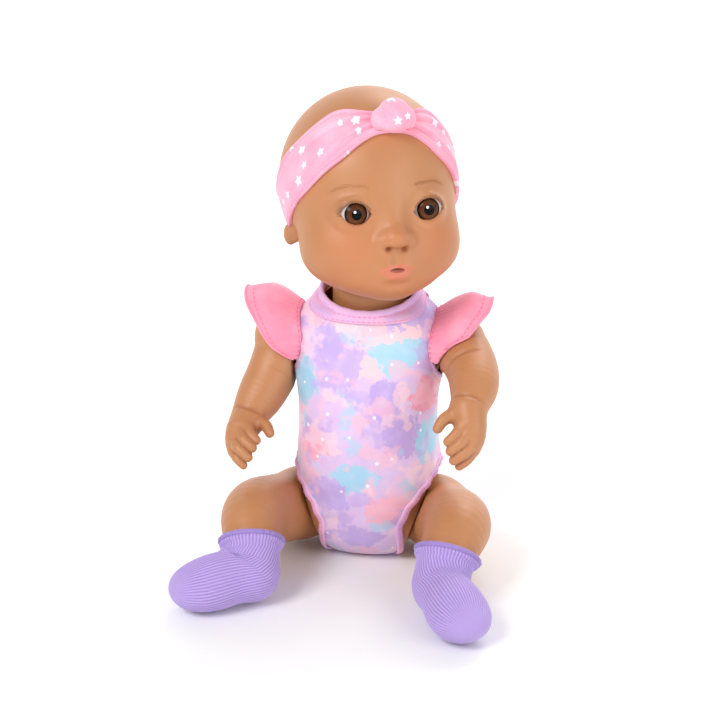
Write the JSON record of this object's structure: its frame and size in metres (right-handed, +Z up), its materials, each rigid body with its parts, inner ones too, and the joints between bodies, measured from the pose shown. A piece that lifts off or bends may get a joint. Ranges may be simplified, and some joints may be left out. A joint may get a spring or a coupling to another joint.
{
  "type": "interactive baby doll",
  "caption": "Seated soft-vinyl baby doll with turning head, swinging arms and legs, printed romper, headband, rib socks and a sound module behind a back flap.",
  "frame": {"origin": "centre of the flat seat, the underside of the romper", "axes": "+Z up, the torso faces -Y, the doll's left is +X; the head is turned 24 degrees to its left at rest"},
  "size_m": [0.1589, 0.1635, 0.2397],
  "materials": {
    "skin_vinyl": "soft matt vinyl",
    "torso_plastic": "moulded, fine matt",
    "inner_plastic": "moulded",
    "black_plastic": "moulded",
    "mouth_plastic": "moulded",
    "steel": "zinc plated",
    "magnet": "ferrite",
    "speaker_paper": "pressed paper cone",
    "board_green": "solder mask",
    "board_parts": "moulded",
    "cell_jacket": "printed jacket",
    "wire_red": "insulation",
    "eye_white": "polished",
    "iris_brown": "polished",
    "romper_cloth": "printed tie-dye jersey",
    "flap_cloth": "printed tie-dye jersey",
    "pink_cloth": "jersey",
    "binding_cloth": "jersey binding",
    "headband_cloth": "printed jersey",
    "sock_cloth": "rib knit",
    "fastener": "hook and loop tape"
  },
  "bodies": {
    "torso": {"torso_front": "torso_plastic", "torso_back": "torso_plastic", "torso_screws": "steel", "neck_post": "skin_vinyl", "speaker_frame": "steel", "speaker_cone": "speaker_paper", "speaker_magnet": "magnet", "speaker_ring": "inner_plastic", "circuit_board": "board_green", "board_components": "board_parts", "board_carrier": "inner_plastic", "board_screws": "steel", "battery_box": "inner_plastic", "batteries": "cell_jacket", "battery_springs": "steel", "battery_contacts": "steel", "power_switch": "black_plastic", "button_guide": "inner_plastic", "button_spring": "steel", "tummy_switch": "black_plastic", "wiring": "wire_red", "romper": "romper_cloth", "collar": "binding_cloth", "fastener_strip": "fastener"},
    "head": {"head": "skin_vinyl", "head_ring": "inner_plastic", "eyeball_left": "eye_white", "iris_left": "iris_brown", "eye_cup_left": "inner_plastic", "eyeball_right": "eye_white", "iris_right": "iris_brown", "eye_cup_right": "inner_plastic", "mouth_guide": "inner_plastic", "mouth_switch": "black_plastic", "mouth_spring": "steel", "headband": "headband_cloth", "headband_knot": "headband_cloth"},
    "mouth": {"mouth_plunger": "mouth_plastic"},
    "arm_left": {"arm_left": "skin_vinyl", "arm_plug_left": "inner_plastic", "sleeve_left": "pink_cloth"},
    "arm_right": {"arm_right": "skin_vinyl", "arm_plug_right": "inner_plastic", "sleeve_right": "pink_cloth"},
    "leg_left": {"leg_left": "skin_vinyl", "leg_plug_left": "inner_plastic", "sock_left": "sock_cloth"},
    "leg_right": {"leg_right": "skin_vinyl", "leg_plug_right": "inner_plastic", "sock_right": "sock_cloth"},
    "tummy": {"tummy_button": "black_plastic"},
    "power": {"power_knob": "black_plastic"},
    "flap": {"back_flap": "flap_cloth"},
    "lid": {"battery_lid": "torso_plastic", "lid_screw": "steel"}
  },
  "joints": [
    {"name": "head_turn", "type": "hinge", "parent": "torso", "child": "head", "pos_m": [0, 0.002, 0.146], "axis": [0, 0, 1], "range_deg": [-94, 46]},
    {"name": "mouth_press", "type": "slide", "parent": "head", "child": "mouth", "axis": [-0.4045, 0.9085, -0.1045], "range_m": [0, 0.0018], "deforming": ["mouth_spring"]},
    {"name": "arm_left_swing", "type": "hinge", "parent": "torso", "child": "arm_left", "pos_m": [0.0372, 0.001, 0.112], "axis": [1, 0, 0], "range_deg": [-60, 20]},
    {"name": "arm_right_swing", "type": "hinge", "parent": "torso", "child": "arm_right", "pos_m": [-0.0372, 0.001, 0.112], "axis": [-1, 0, 0], "range_deg": [-15, 110]},
    {"name": "leg_left_swing", "type": "hinge", "parent": "torso", "child": "leg_left", "pos_m": [0.027, -0.003, 0.024], "axis": [0.9397, 0, -0.342], "range_deg": [-32, 35]},
    {"name": "leg_right_swing", "type": "hinge", "parent": "torso", "child": "leg_right", "pos_m": [-0.027, -0.003, 0.024], "axis": [-0.9397, 0, -0.342], "range_deg": [-35, 12]},
    {"name": "tummy_press", "type": "slide", "parent": "torso", "child": "tummy", "axis": [0, 1, 0], "range_m": [0, 0.0025], "deforming": ["button_spring"]},
    {"name": "power_slide", "type": "slide", "parent": "torso", "child": "power", "axis": [0, 0, 1], "range_m": [0, 0.004]},
    {"name": "flap_open", "type": "hinge", "parent": "torso", "child": "flap", "pos_m": [-0.0265, 0.025, 0.06], "axis": [0, 0, 1], "range_deg": [0, 95]},
    {"name": "lid_open", "type": "hinge", "parent": "torso", "child": "lid", "pos_m": [-0.0159, 0.0223, 0.062], "axis": [0, 0, 1], "range_deg": [0, 76]}
  ],
  "couplings": [
    {"joint": "lid_open", "follows": "flap_open", "ratio": 0.8}
  ]
}
